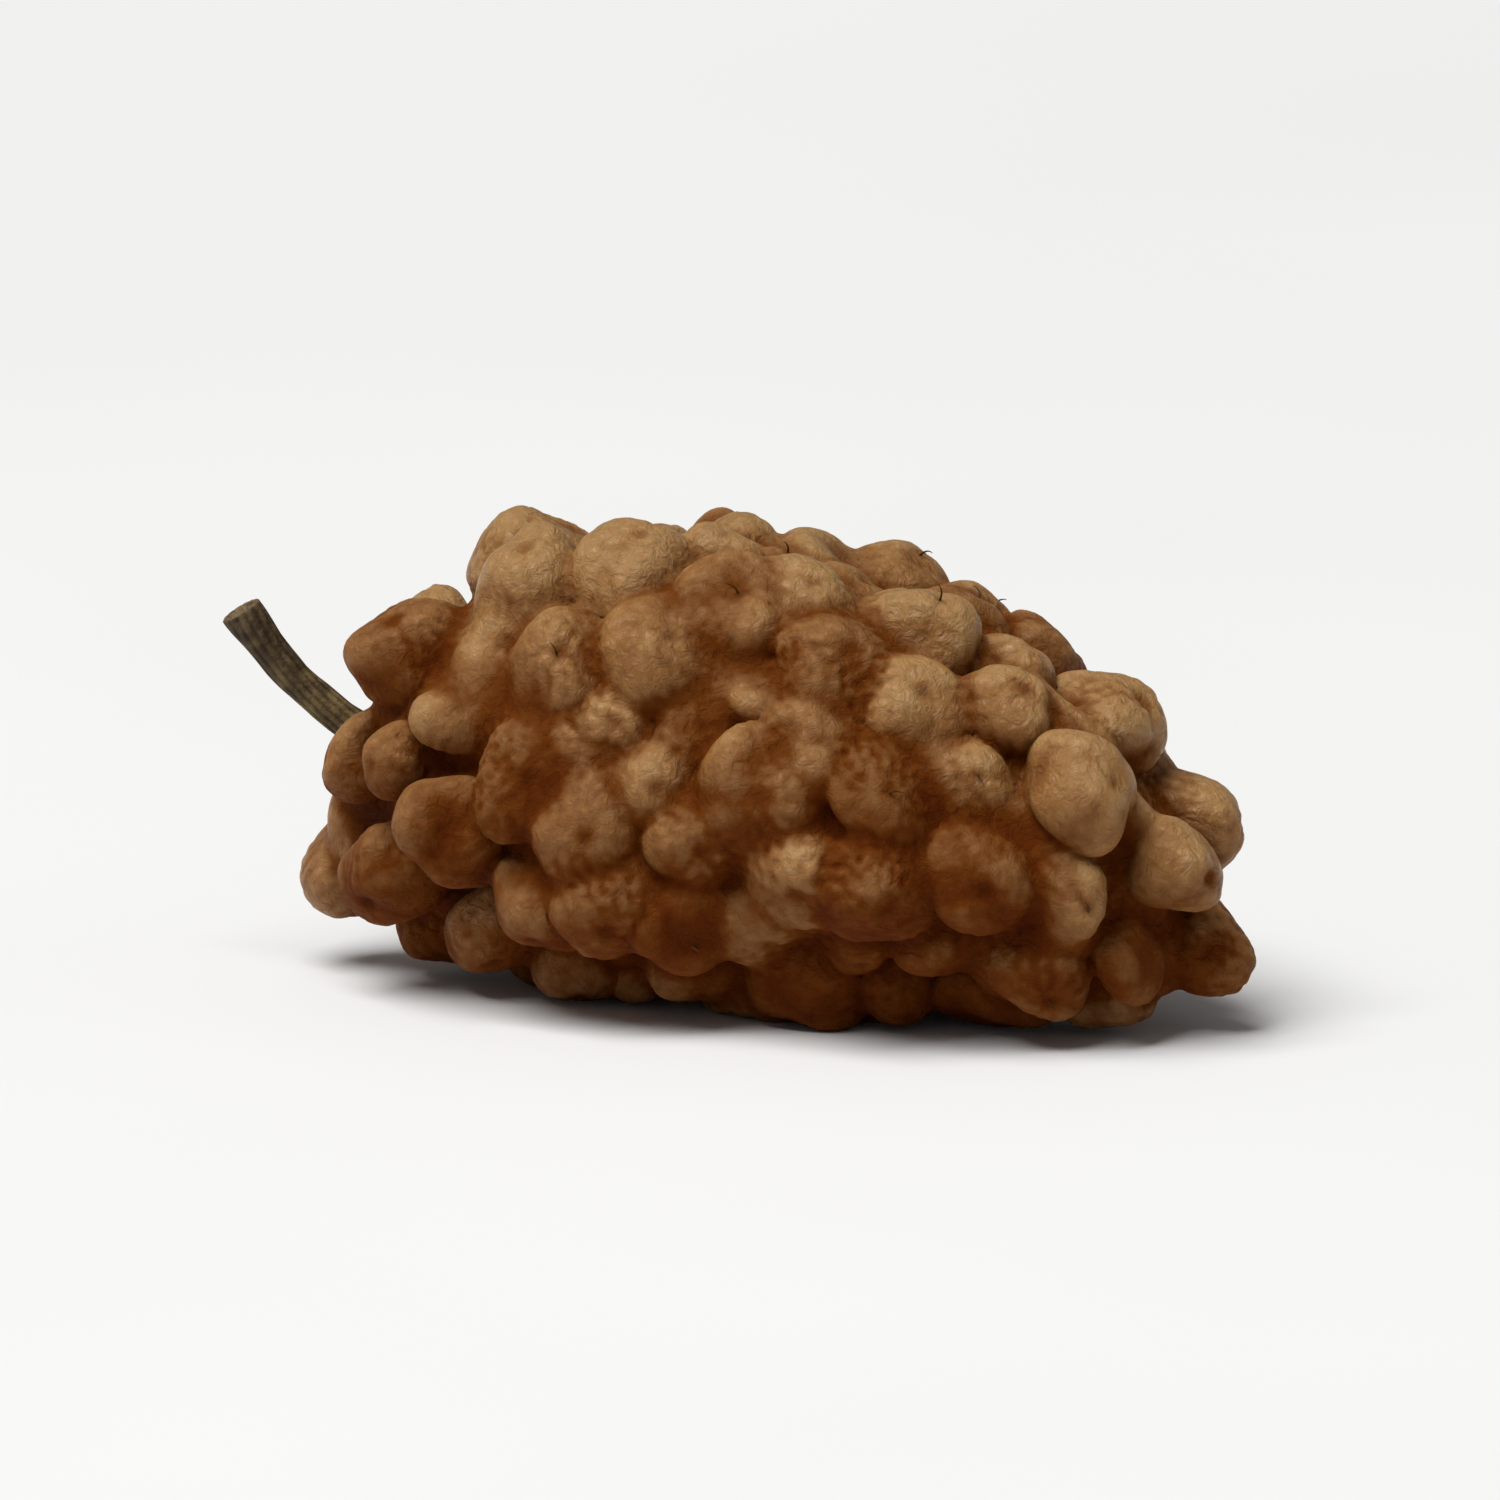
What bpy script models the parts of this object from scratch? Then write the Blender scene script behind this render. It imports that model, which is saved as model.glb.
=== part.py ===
"""A dried white mulberry lying on its side, with the short stalk that it was picked by.

Metres, +Z up. The fruit's long axis runs along X, from the stalk at -X to the tip at +X, and it
rests on the drupelets that it pressed flat. The origin is under the middle of the whole part.
"""

import math

import bmesh
import bpy
import numpy as np
from mathutils import Matrix

MM = 0.001
TINY = 1e-9
TIP = np.array((1.0, 0.0, 0.0))

# The fruit's core, the fleshy axis that every drupelet grows from
CORE_LENGTH = 17.0 * MM
CORE_WIDTH = 7.0 * MM
CORE_HEIGHT = 7.0 * MM
CORE_BLUNTNESS = 2.3  # 2 is an ellipsoid, and more is blunter at the ends
CORE_SEGMENTS = 32
CORE_RINGS = 20

# Where the drupelets sit, and how big they are
SEED = 21
DRUPELETS = 120
SIZE_SPREAD = 0.19
SIZE_RANGE = (0.66, 1.26)
STALK_ROOM = 0.4  # what the stalk takes among the drupelets, as a share of their width
SPIRAL_SCATTER = 0.03
RELAXING_STEPS = 200
RELAXING_SHARE = 0.3
LEAN_TO_TIP = 0.3

# One drupelet, a seed wrapped in four fleshy sepals that meet in a pit
DRUPELET_WIDTH = 2.12 * MM
DRUPELET_HEIGHT = 2.15 * MM
DRUPELET_CENTRE = 0.5 * MM  # how far its middle is above the core's surface
ROOT_WIDTH = 0.62  # as a share of its width
SEPALS = 4
SEAM_DEPTH = 0.085
SEAM_WIDTH_DEG = 15.0
PIT_DEPTH = 0.2
PIT_WIDTH_DEG = 17.0
BEAD_SUBDIVISIONS = 4

# The drupelets that dried out and fell in
SHRUNKEN_SHARE = 0.25
SHRUNKEN_HEIGHT = 0.8
DENT_DEPTH = 0.22
DENT_WIDTH_DEG = 34.0
DENT_ON_TOP = 1.2  # how strongly the dents keep to a drupelet's top

# How the drying fruit took its shape
TIP_TAPER = 0.14
ARCH = 0.8 * MM
SIDE_BEND = 0.5 * MM
LUMP_HEIGHT = 0.55 * MM
LUMP_LENGTH = 5.2 * MM
LUMP_WAVES = (  # each wave's direction, and where in the wave the middle is
    ((1.0, 0.7, 0.0), 1.3),
    ((0.0, 0.8, -0.9), 0.4),
    ((0.6, 0.0, 0.9), -2.1),
)
ROLL_DEG = 20.0
NOSE_DOWN_DEG = 5.0
SAG_FROM = -2.95 * MM  # below this height the underside has sagged
SAG_DEPTH = 1.75 * MM  # and this is the most that it hangs below that height
FLOOR_BITE = 0.2 * MM  # how much of the lowest drupelets is pressed flat

# The stalk
STALK_LENGTH = 5.8 * MM
STALK_BURIED = 1.3 * MM
STALK_DIAMETER = 0.7 * MM
STALK_GAP = 0.3 * MM
STALK_RISE_DEG = 14.0
STALK_CURL_DEG = 44.0
STALK_SWING_DEG = -24.0
STALK_CALYX = 1.45  # how much wider the stalk is inside the fruit
STALK_CALYX_REACH = 0.24
STALK_KNOB = 1.3  # and at the end where it came off the twig
STALK_KNOB_REACH = 0.1
STALK_STATIONS = 14
STALK_BEVEL_RESOLUTION = 3

# The fruit's facets
VOXEL = 0.15 * MM
FRUIT_TRIANGLES = 11000
SHARP_EDGE_DEG = 50.0

SKIN_COLOUR = (0.26, 0.12, 0.035)
SKIN_ROUGHNESS = 0.55
STALK_COLOUR = (0.07, 0.045, 0.02)
STALK_ROUGHNESS = 0.8


def clear_scene():
    for obj in list(bpy.data.objects):
        bpy.data.objects.remove(obj)


def plain_material(name, colour, roughness):
    material = bpy.data.materials.new(name)
    material.use_nodes = True
    shader = material.node_tree.nodes["Principled BSDF"]
    shader.inputs["Base Color"].default_value = (*colour, 1.0)
    shader.inputs["Roughness"].default_value = roughness
    shader.inputs["Metallic"].default_value = 0.0
    return material


def finish_surface(obj, material):
    obj.data.materials.clear()
    obj.data.materials.append(material)
    obj.data.shade_smooth()
    obj.data.set_sharp_from_angle(angle=math.radians(SHARP_EDGE_DEG))


def linked_object(name, mesh, collection):
    obj = bpy.data.objects.new(name, mesh)
    collection.objects.link(obj)
    return obj


def object_from_points(name, points, faces, collection):
    mesh = bpy.data.meshes.new(name)
    mesh.from_pydata(points.tolist(), [], faces)
    mesh.update()
    return linked_object(name, mesh, collection)


def points_and_faces(body):
    """The points and faces of a bmesh, which is then freed."""
    points = np.array([vert.co for vert in body.verts])
    faces = [tuple(vert.index for vert in face.verts) for face in body.faces]
    body.free()
    return points, faces


def apply_modifiers(obj):
    graph = bpy.context.evaluated_depsgraph_get()
    obj.data = bpy.data.meshes.new_from_object(obj.evaluated_get(graph))
    obj.modifiers.clear()


def join(obj, collection):
    """Joins a collection's objects to this one, and removes them."""
    union = obj.modifiers.new("join", "BOOLEAN")
    union.operation = "UNION"
    union.operand_type = "COLLECTION"
    union.collection = collection
    union.solver = "MANIFOLD"
    apply_modifiers(obj)
    for part in list(collection.objects):
        bpy.data.objects.remove(part)
    bpy.data.collections.remove(collection)


def cut(obj, cutter):
    """Cuts one object out of another, and removes the cutter."""
    removal = obj.modifiers.new("cut", "BOOLEAN")
    removal.operation = "DIFFERENCE"
    removal.object = cutter
    apply_modifiers(obj)
    bpy.data.objects.remove(cutter)


def one_even_skin(obj, triangles):
    """Rounds the joined shapes into one skin of about this many triangles."""
    skin = obj.modifiers.new("one skin", "REMESH")
    skin.mode = "VOXEL"
    skin.voxel_size = VOXEL
    apply_modifiers(obj)
    thinning = obj.modifiers.new("thin out", "DECIMATE")
    thinning.ratio = triangles / (2 * len(obj.data.polygons))
    thinning.use_collapse_triangulate = True
    apply_modifiers(obj)


def keep_largest_shell(obj):
    """Drops the closed pockets between the drupelets, and any scrap that a cut left loose."""
    body = bmesh.new()
    body.from_mesh(obj.data)
    unseen = set(body.verts)
    shells = []
    while unseen:
        shell = [unseen.pop()]
        for vert in shell:
            near = {edge.other_vert(vert) for edge in vert.link_edges} & unseen
            shell.extend(near)
            unseen -= near
        shells.append(shell)
    shells.sort(key=len)
    scraps = [vert for shell in shells[:-1] for vert in shell]
    bmesh.ops.delete(body, geom=scraps, context="VERTS")
    body.to_mesh(obj.data)
    body.free()


def core_axes():
    return np.array((CORE_LENGTH, CORE_WIDTH, CORE_HEIGHT)) / 2


def onto_core(points):
    """Points moved straight from or to the middle, until they lie on the core's surface."""
    scaled = np.abs(points / core_axes())
    across = np.hypot(scaled[:, 1], scaled[:, 2])
    level = scaled[:, 0] ** CORE_BLUNTNESS + across**CORE_BLUNTNESS
    return points / level[:, None] ** (1 / CORE_BLUNTNESS)


def core_normals(points):
    axes = core_axes()
    scaled = points / axes
    across = np.maximum(np.hypot(scaled[:, 1], scaled[:, 2]), TINY)
    power = CORE_BLUNTNESS - 2
    along = scaled[:, 0] * np.abs(scaled[:, 0]) ** power / axes[0]
    sideways = scaled[:, 1:] * across[:, None] ** power / axes[1:]
    normals = np.column_stack((along, sideways))
    return normals / np.linalg.norm(normals, axis=1)[:, None]


def stalk_seat():
    return np.array([[-CORE_LENGTH / 2, 0, 0]])


def drupelet_seats(draw):
    """(seats, sizes): points spread over the core until no drupelet crowds another.

    They start on a spiral, as the flowers did, and push each other apart. The stalk has a seat
    of its own at -X, which stays where it is.
    """
    golden = math.pi * (3 - math.sqrt(5))
    turn = golden * np.arange(DRUPELETS)
    along = 1 - 2 * (np.arange(DRUPELETS) + 0.5) / DRUPELETS
    across = np.sqrt(1 - along**2)
    spiral = np.column_stack((along, across * np.cos(turn), across * np.sin(turn)))
    spiral += draw.normal(0, SPIRAL_SCATTER, spiral.shape)
    sizes = np.clip(draw.normal(1, SIZE_SPREAD, DRUPELETS), *SIZE_RANGE)
    seats = np.vstack((onto_core(spiral * core_axes()), stalk_seat()))
    reach = np.append(sizes, STALK_ROOM)
    same = np.eye(len(seats))
    for _ in range(RELAXING_STEPS):
        apart = seats[:, None] - seats[None]
        distance = np.linalg.norm(apart, axis=2) + same
        wanted = (reach[:, None] + reach[None]) / 2 * DRUPELET_WIDTH
        push = np.clip(1 - distance / wanted, 0, 1) * (1 - same) / distance
        shift = np.einsum("ij,ijk->ik", push, apart)
        seats = onto_core(seats + RELAXING_SHARE * DRUPELET_WIDTH * shift)
        seats[-1] = stalk_seat()
    return seats[:-1], sizes


def outward_frame(normal):
    """Columns: towards the tip, round the fruit, and out, the last leaning to the tip."""
    out = normal + LEAN_TO_TIP * (TIP - normal * normal[0])
    out /= np.linalg.norm(out)
    sideways = np.cross(out, TIP)
    sideways /= np.linalg.norm(sideways)
    return np.column_stack((np.cross(sideways, out), sideways, out))


def hollow(angle, width_deg):
    """1 in the middle of a pit, seam or dent, and 0 well away from it."""
    return np.exp(-((angle / math.radians(width_deg)) ** 2))


def drupelet_points(directions, turned, dent):
    """A drupelet round +Z, standing on the core's surface.

    directions are those of a ball's points, turned is where its first seam is, and dent is the
    direction in which a shrunken drupelet has fallen in, or None.
    """
    up = np.clip(directions[:, 2], -1, 1)
    polar = np.arccos(up)
    sector = 2 * math.pi / SEPALS
    round_it = np.arctan2(directions[:, 1], directions[:, 0]) - turned
    from_seam = np.abs((round_it + sector / 2) % sector - sector / 2) * np.sin(polar)
    shoulder = np.clip(np.sin(2 * polar), 0, 1) * (up > 0)
    depth = SEAM_DEPTH * hollow(from_seam, SEAM_WIDTH_DEG) * shoulder
    depth += PIT_DEPTH * hollow(polar, PIT_WIDTH_DEG)
    height = DRUPELET_HEIGHT
    if dent is not None:
        from_dent = np.arccos(np.clip(directions @ dent, -1, 1))
        depth += DENT_DEPTH * hollow(from_dent, DENT_WIDTH_DEG)
        height *= SHRUNKEN_HEIGHT
    points = directions * (1 - depth)[:, None]
    points[:, :2] *= 1 + (1 - ROOT_WIDTH) * np.minimum(up, 0)[:, None]
    points *= np.array((DRUPELET_WIDTH, DRUPELET_WIDTH, height)) / 2
    points[:, 2] += DRUPELET_CENTRE
    return points


def lumps(points):
    """A smooth unevenness between -1 and 1, in waves about LUMP_LENGTH long."""
    phases = 2 * math.pi / LUMP_LENGTH * points
    waves = [np.sin(phases @ np.array(way) + start) for way, start in LUMP_WAVES]
    return np.mean(waves, axis=0)


def turned_plane(first, second, degrees):
    """Two coordinates of some points, turned from the first axis towards the second."""
    cosine = math.cos(math.radians(degrees))
    sine = math.sin(math.radians(degrees))
    return first * cosine - second * sine, first * sine + second * cosine


def dried(points):
    """Bends the straight fruit's points to the shape that it dried in."""
    distance = np.maximum(np.linalg.norm(points, axis=1), TINY)
    lumpy = points * (1 + LUMP_HEIGHT * lumps(points) / distance)[:, None]
    x = lumpy[:, 0]
    along = x / (CORE_LENGTH / 2)
    y, z = lumpy[:, 1:].T * (1 - TIP_TAPER * along)
    y, z = turned_plane(y, z, ROLL_DEG)
    y -= SIDE_BEND * along**2
    z -= ARCH * along**2
    x, z = turned_plane(x, z, -NOSE_DOWN_DEG)
    sagged = SAG_FROM - SAG_DEPTH * np.tanh((SAG_FROM - z) / SAG_DEPTH)
    z = np.where(z < SAG_FROM, sagged, z)
    return np.column_stack((x, y, z))


def core_object(collection):
    """The core, a globe whose poles are the fruit's two ends."""
    globe = bmesh.new()
    bmesh.ops.create_uvsphere(globe, u_segments=CORE_SEGMENTS, v_segments=CORE_RINGS, radius=1)
    bmesh.ops.rotate(globe, verts=globe.verts, matrix=Matrix.Rotation(math.pi / 2, 3, "Y"))
    points, faces = points_and_faces(globe)
    return object_from_points("fruit", dried(onto_core(points * core_axes())), faces, collection)


def add_drupelets(collection):
    draw = np.random.default_rng(SEED)
    seats, sizes = drupelet_seats(draw)
    shrunken = draw.random(DRUPELETS) < SHRUNKEN_SHARE
    turned = draw.uniform(0, 2 * math.pi, DRUPELETS)
    dents = draw.normal(0, 1, (DRUPELETS, 3)) + (0, 0, DENT_ON_TOP)
    dents /= np.linalg.norm(dents, axis=1)[:, None]
    ball = bmesh.new()
    bmesh.ops.create_icosphere(ball, subdivisions=BEAD_SUBDIVISIONS, radius=1)
    directions, faces = points_and_faces(ball)
    for number, (seat, normal) in enumerate(zip(seats, core_normals(seats))):
        dent = dents[number] if shrunken[number] else None
        local = sizes[number] * drupelet_points(directions, turned[number], dent)
        placed = dried(seat + local @ outward_frame(normal).T)
        object_from_points(f"drupelet_{number}", placed, faces, collection)


def floor_block(top, collection):
    """A block, wider than the fruit, whose top is the surface that the fruit rests on."""
    block = bmesh.new()
    bmesh.ops.create_cube(block, size=2 * CORE_LENGTH)
    points, faces = points_and_faces(block)
    return object_from_points("floor", points + (0, 0, top - CORE_LENGTH), faces, collection)


def build_fruit(collection):
    fruit = core_object(collection)
    drupelets = bpy.data.collections.new("drupelets")
    collection.children.link(drupelets)
    add_drupelets(drupelets)
    join(fruit, drupelets)
    keep_largest_shell(fruit)
    one_even_skin(fruit, FRUIT_TRIANGLES)
    lowest = min(vert.co.z for vert in fruit.data.vertices)
    cut(fruit, floor_block(lowest + FLOOR_BITE, collection))
    cut(fruit, stalk_tube("socket", STALK_GAP, collection))
    keep_largest_shell(fruit)
    finish_surface(fruit, plain_material("dried_skin", SKIN_COLOUR, SKIN_ROUGHNESS))
    return fruit


def stalk_path():
    """The middle line of the stalk, from inside the fruit to where it came off the twig."""
    share = np.linspace(0, 1, STALK_STATIONS)
    rise = np.radians(STALK_RISE_DEG + STALK_CURL_DEG * share)
    swing = np.radians(STALK_SWING_DEG * share)
    heading = np.column_stack(
        (-np.cos(rise) * np.cos(swing), np.cos(rise) * np.sin(swing), np.sin(rise))
    )
    path = np.cumsum(heading, axis=0) * STALK_LENGTH / STALK_STATIONS
    inner = dried(stalk_seat())[0] - heading[0] * STALK_BURIED
    return path - path[0] + inner


def stalk_widths():
    """How wide the stalk is at each point of its path, as a share of its diameter."""
    share = np.linspace(0, 1, STALK_STATIONS)
    calyx = (STALK_CALYX - 1) * np.exp(-((share / STALK_CALYX_REACH) ** 2))
    knob = (STALK_KNOB - 1) * np.exp(-(((1 - share) / STALK_KNOB_REACH) ** 2))
    return 1 + calyx + knob


def stalk_tube(name, gap, collection):
    """The stalk, grown by a gap on every side, as a closed mesh."""
    path = stalk_path()
    ends = np.array((path[0] - path[1], path[-1] - path[-2]))
    path[[0, -1]] += gap * ends / np.linalg.norm(ends, axis=1)[:, None]
    curve = bpy.data.curves.new(name, "CURVE")
    curve.dimensions = "3D"
    curve.bevel_depth = 1.0
    curve.bevel_resolution = STALK_BEVEL_RESOLUTION
    curve.use_fill_caps = True
    spline = curve.splines.new("POLY")
    spline.points.add(len(path) - 1)
    for point, place, width in zip(spline.points, path, stalk_widths()):
        point.co = (*place, 1)
        point.radius = width * STALK_DIAMETER / 2 + gap
    guide = linked_object(name, curve, collection)
    graph = bpy.context.evaluated_depsgraph_get()
    mesh = bpy.data.meshes.new_from_object(guide.evaluated_get(graph))
    bpy.data.objects.remove(guide)
    return linked_object(name, mesh, collection)


def build_stalk(collection):
    stalk = stalk_tube("stalk", 0, collection)
    finish_surface(stalk, plain_material("stalk", STALK_COLOUR, STALK_ROUGHNESS))
    return stalk


def stand_on_origin(parts, collection):
    """Hangs the parts on an empty that brings the middle of their underside to the origin."""
    corners = np.array([vert.co for part in parts for vert in part.data.vertices])
    low, high = corners.min(axis=0), corners.max(axis=0)
    mulberry = linked_object("mulberry", None, collection)
    mulberry.location = (-(low[0] + high[0]) / 2, -(low[1] + high[1]) / 2, -low[2])
    for part in parts:
        part.parent = mulberry


def main():
    clear_scene()
    collection = bpy.context.scene.collection
    fruit = build_fruit(collection)
    stalk = build_stalk(collection)
    stand_on_origin((fruit, stalk), collection)


main()
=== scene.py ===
"""A dried white mulberry lying on a pale floor, seen from the side as in the photograph.

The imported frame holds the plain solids. This script lays out the same drupelets and stalk as
they do, makes them as fine meshes, and gives them their finish. Shapes are in millimetres until
fitted() moves them into the frame, which is in metres.
"""

import math

import bmesh
import bpy
import numpy as np
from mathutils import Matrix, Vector
from mathutils.kdtree import KDTree


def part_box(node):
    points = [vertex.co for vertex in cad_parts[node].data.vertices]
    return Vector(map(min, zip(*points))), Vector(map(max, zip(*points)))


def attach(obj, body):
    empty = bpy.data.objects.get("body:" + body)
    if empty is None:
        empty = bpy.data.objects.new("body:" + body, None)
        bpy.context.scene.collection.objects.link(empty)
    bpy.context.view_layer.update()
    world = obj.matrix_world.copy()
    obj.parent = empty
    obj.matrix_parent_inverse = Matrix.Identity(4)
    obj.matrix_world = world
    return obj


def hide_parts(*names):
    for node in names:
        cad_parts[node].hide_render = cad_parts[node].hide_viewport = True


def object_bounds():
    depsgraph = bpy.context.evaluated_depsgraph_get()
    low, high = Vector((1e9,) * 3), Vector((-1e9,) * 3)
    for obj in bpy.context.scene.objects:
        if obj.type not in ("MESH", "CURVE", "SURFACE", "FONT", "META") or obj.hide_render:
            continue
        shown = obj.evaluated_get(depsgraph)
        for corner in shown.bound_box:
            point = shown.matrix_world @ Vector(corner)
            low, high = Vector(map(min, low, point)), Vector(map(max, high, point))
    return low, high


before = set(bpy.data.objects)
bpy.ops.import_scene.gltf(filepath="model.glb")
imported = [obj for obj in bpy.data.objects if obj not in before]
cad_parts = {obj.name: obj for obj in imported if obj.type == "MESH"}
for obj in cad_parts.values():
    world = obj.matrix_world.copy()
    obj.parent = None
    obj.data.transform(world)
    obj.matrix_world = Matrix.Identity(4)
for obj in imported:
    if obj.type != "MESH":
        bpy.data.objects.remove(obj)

CAD_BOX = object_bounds()
METRES = 0.001
TINY = 1e-9
TIP = np.array((1.0, 0.0, 0.0))

# The fruit's core
CORE_LENGTH = 17.0
CORE_WIDTH = 7.0
CORE_HEIGHT = 7.0
CORE_BLUNTNESS = 2.3  # 2 is an ellipsoid, and more is blunter at the ends

# Where the drupelets sit, and how big they are
SEED = 21
DRUPELETS = 120
SIZE_SPREAD = 0.19
SIZE_RANGE = (0.66, 1.26)
STALK_ROOM = 0.4  # what the stalk takes among the drupelets, as a share of their width
SPIRAL_SCATTER = 0.03
RELAXING_STEPS = 200
RELAXING_SHARE = 0.3
LEAN_TO_TIP = 0.3

# One drupelet, a seed wrapped in four fleshy sepals that meet in a pit
DRUPELET_WIDTH = 2.12
DRUPELET_HEIGHT = 2.15
DRUPELET_CENTRE = 0.5  # how far its middle is above the core's surface
ROOT_WIDTH = 0.62  # as a share of its width
SEPALS = 4
SEAM_DEPTH = 0.035
SEAM_WIDTH_DEG = 10.0
SEPAL_LAP = 0.012  # how much every other sepal stands proud of the two beside it
SEPAL_EDGE = 4.0  # how sharp the step between them is
PIT_DEPTH = 0.11
PIT_WIDTH_DEG = 9.0
BEAD_SUBDIVISIONS = 5

# The drupelets that dried out and fell in
SHRUNKEN_SHARE = 0.25
SHRUNKEN_HEIGHT = 0.8
DENT_DEPTH = 0.22
DENT_WIDTH_DEG = 34.0
DENT_ON_TOP = 1.2  # how strongly the dents keep to a drupelet's top

# What only this skin has: small buds in the gaps, flesh between the drupelets, and folds
DETAIL_SEED = 5
WAVES = 40  # that a random unevenness is made of
BUDS = 60
BUD_TRIES = 3000
BUD_SIZE_RANGE = (0.25, 0.55)
BUD_FILL = 1.25  # how wide a bud is, as a share of its gap
BUD_SINK = 0.12
BUD_STALK_ROOM = 1.0  # what the buds leave to the stalk, as a share of a drupelet's width
SMALL_DENTS = 4  # on each drupelet
SMALL_DENT_DEPTH = 0.16
SMALL_DENT_WIDTH_DEG = 32.0
SMALL_DENTS_ON_TOP = 0.5
FLESH_HEIGHT = 0.55  # how far the flesh between the drupelets stands above the core
FLESH_SPREAD = 0.4
FLESH_LENGTH = 2.5
GAP_STEPS = 36
GAP_SHARE = 0.65
CRUMPLE_LENGTH = 1.4
CRUMPLE_HEIGHT = 0.07
WRINKLE_LENGTH = 0.4
WRINKLE_HEIGHT = 0.085
WRINKLE_STRENGTH_RANGE = (0.35, 1.1)
WRINKLE_ROUNDS = 6
WRINKLE_GAIN = 3.0
WRINKLE_BAND = 3  # how many times as long the broad averaging is as the fine one
WRINKLE_SHARPNESS = 0.8
WRINKLE_COMBING = 0.25  # how strongly wrinkles run from a drupelet's pit down its sides
WRINKLE_PATCH_LENGTH = 1.9
WRINKLE_PATCH_MEAN = 0.8
WRINKLE_PATCH_SPREAD = 0.5
WRINKLE_PATCH_RANGE = (0.3, 1.3)
SMOOTH_ROUND_PIT_DEG = 14.0

# How the drying fruit took its shape
TIP_TAPER = 0.14
ARCH = 0.8
SIDE_BEND = 0.5
LUMP_HEIGHT = 0.55
LUMP_LENGTH = 5.2
LUMP_WAVES = (  # each wave's direction, and where in the wave the middle is
    ((1.0, 0.7, 0.0), 1.3),
    ((0.0, 0.8, -0.9), 0.4),
    ((0.6, 0.0, 0.9), -2.1),
)
ROLL_DEG = 20.0
NOSE_DOWN_DEG = 5.0
SAG_FROM = -2.95  # below this height the underside has sagged
SAG_DEPTH = 1.75  # and this is the most that it hangs below that height
FLOOR_BITE = 0.2  # how much of the lowest drupelets is pressed flat

# The stalk
STALK_LENGTH = 5.8
STALK_BURIED = 1.3
STALK_DIAMETER = 0.7
STALK_RISE_DEG = 14.0
STALK_CURL_DEG = 44.0
STALK_SWING_DEG = -24.0
STALK_CALYX = 1.45  # how much wider the stalk is inside the fruit
STALK_CALYX_REACH = 0.24
STALK_KNOB = 1.3  # and at the end where it came off the twig
STALK_KNOB_REACH = 0.1
STALK_STATIONS = 14

# The stalk's own finish
STALK_FINE_STATIONS = 90
STALK_SIDES = 64
STALK_RIDGES = 13
STALK_RIDGE_DEPTH = 0.08
STALK_TWIST_DEG = 50.0
STALK_BUMP_LENGTH = 1.1
STALK_BUMP_DEPTH = 0.07
STALK_END = (  # the hollow end where it broke off: how far on each ring is, and how wide
    (0.03, 0.93),
    (0.0, 0.78),
    (-0.1, 0.6),
    (-0.14, 0.3),
    (-0.12, 0.03),
)
DIMPLE_DEPTH = 0.3  # of the skin round the stalk
DIMPLE_WIDTH = 0.75
DIMPLE_STATIONS_APART = 5

# The dried styles, short threads left in some of the pits
STYLE_SHARE = 0.3
STYLE_LENGTH_RANGE = (0.25, 0.6)
STYLE_BEND_RANGE = (0.9, 1.7)  # in radians, from root to end
STYLE_WIDTH = 0.05
STYLE_TAPER = 0.75
STYLE_ROOM = 0.7  # how far inside the fruit's box they keep
STYLE_STATIONS = 9
STYLE_SIDES = 8

# The skin's fine mesh
CORE_SUBDIVISIONS = 6
VOXEL = 0.082
SMOOTHING_STEPS = 2
STEP_SPREAD = 0.375  # how far one averaging reaches, squared, as a share of the voxel squared
SKIN_TRIANGLES = 190000

# What the skin's colour follows. Bumps are measured against the skin, averaged in this many steps.
# Gaps and creases are painted darker as painted shade, and bumps paler as painted light
BROAD_STEPS = 60
BROAD_BUMP = 0.25  # how far a full bump stands out of it
FINE_STEPS = 8
FINE_BUMP = 0.02
PIT_COLOUR_WIDTH_DEG = 8.0
TONE_STEPS = 40  # that soften where one drupelet's colour meets the next one's
END_PALENESS = 0.35
END_POWER = 4  # the higher, the closer to the two ends the paleness keeps

# The colours. Those with a place are read off a scale from dark to pale
# The skin's scale runs from the painted shade of the gaps and undersides to the palest tops, which
# are partly painted light
SKIN_COLOURS = (
    (0.0, (0.058, 0.0082, 0.0004)),
    (0.33, (0.1, 0.019, 0.0013)),
    (0.53, (0.135, 0.036, 0.0045)),
    (0.7, (0.2, 0.08, 0.022)),
    (0.87, (0.29, 0.137, 0.04)),
    (1.0, (0.37, 0.21, 0.08)),
)
PIT_COLOUR = (0.05, 0.013, 0.001)
BARK_COLOURS = (
    (0.0, (0.035, 0.02, 0.007)),
    (0.5, (0.1, 0.063, 0.02)),
    (1.0, (0.2, 0.14, 0.05)),
)
BARK_WEATHERING = (0.62, 0.6, 0.75)  # what the bark's colour is multiplied by further on
WOOD_COLOURS = ((0.3, (0.06, 0.035, 0.015)), (0.7, (0.22, 0.15, 0.075)))
STYLE_COLOURS = ((0.3, (0.035, 0.014, 0.004)), (0.7, (0.085, 0.042, 0.013)))
FLOOR_COLOURS = ((0.3, (0.84, 0.84, 0.83)), (0.7, (0.87, 0.87, 0.86)))

# The view, which is the photograph's, and the light
VIEW_AZIMUTH_DEG = 22.0
VIEW_ELEVATION_DEG = 12.0
VIEW_DISTANCE = 600.0
VIEW_NEAREST = 1.0  # what is closer to the camera than this isn't seen
FRAME_WIDTH = 29.5  # what the picture spans at the fruit
SENSOR_WIDTH = 36.0
FLOOR_SIZE = 4000.0
FLOOR_GAP = 0.02
LIGHT_SIZE = 900.0
LIGHT_DISTANCE = 1300.0
LIGHT_AZIMUTH_DEG = -25.0
LIGHT_ELEVATION_DEG = 66.0
LIGHT_WATTS = 20.5
ROOM_BRIGHTNESS = 0.17

# Which of a Mix node's sockets are for colours: the share and the two colours, and the result
MIX_COLOUR_INPUTS = (0, 6, 7)
MIX_COLOUR_OUTPUT = 2


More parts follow.
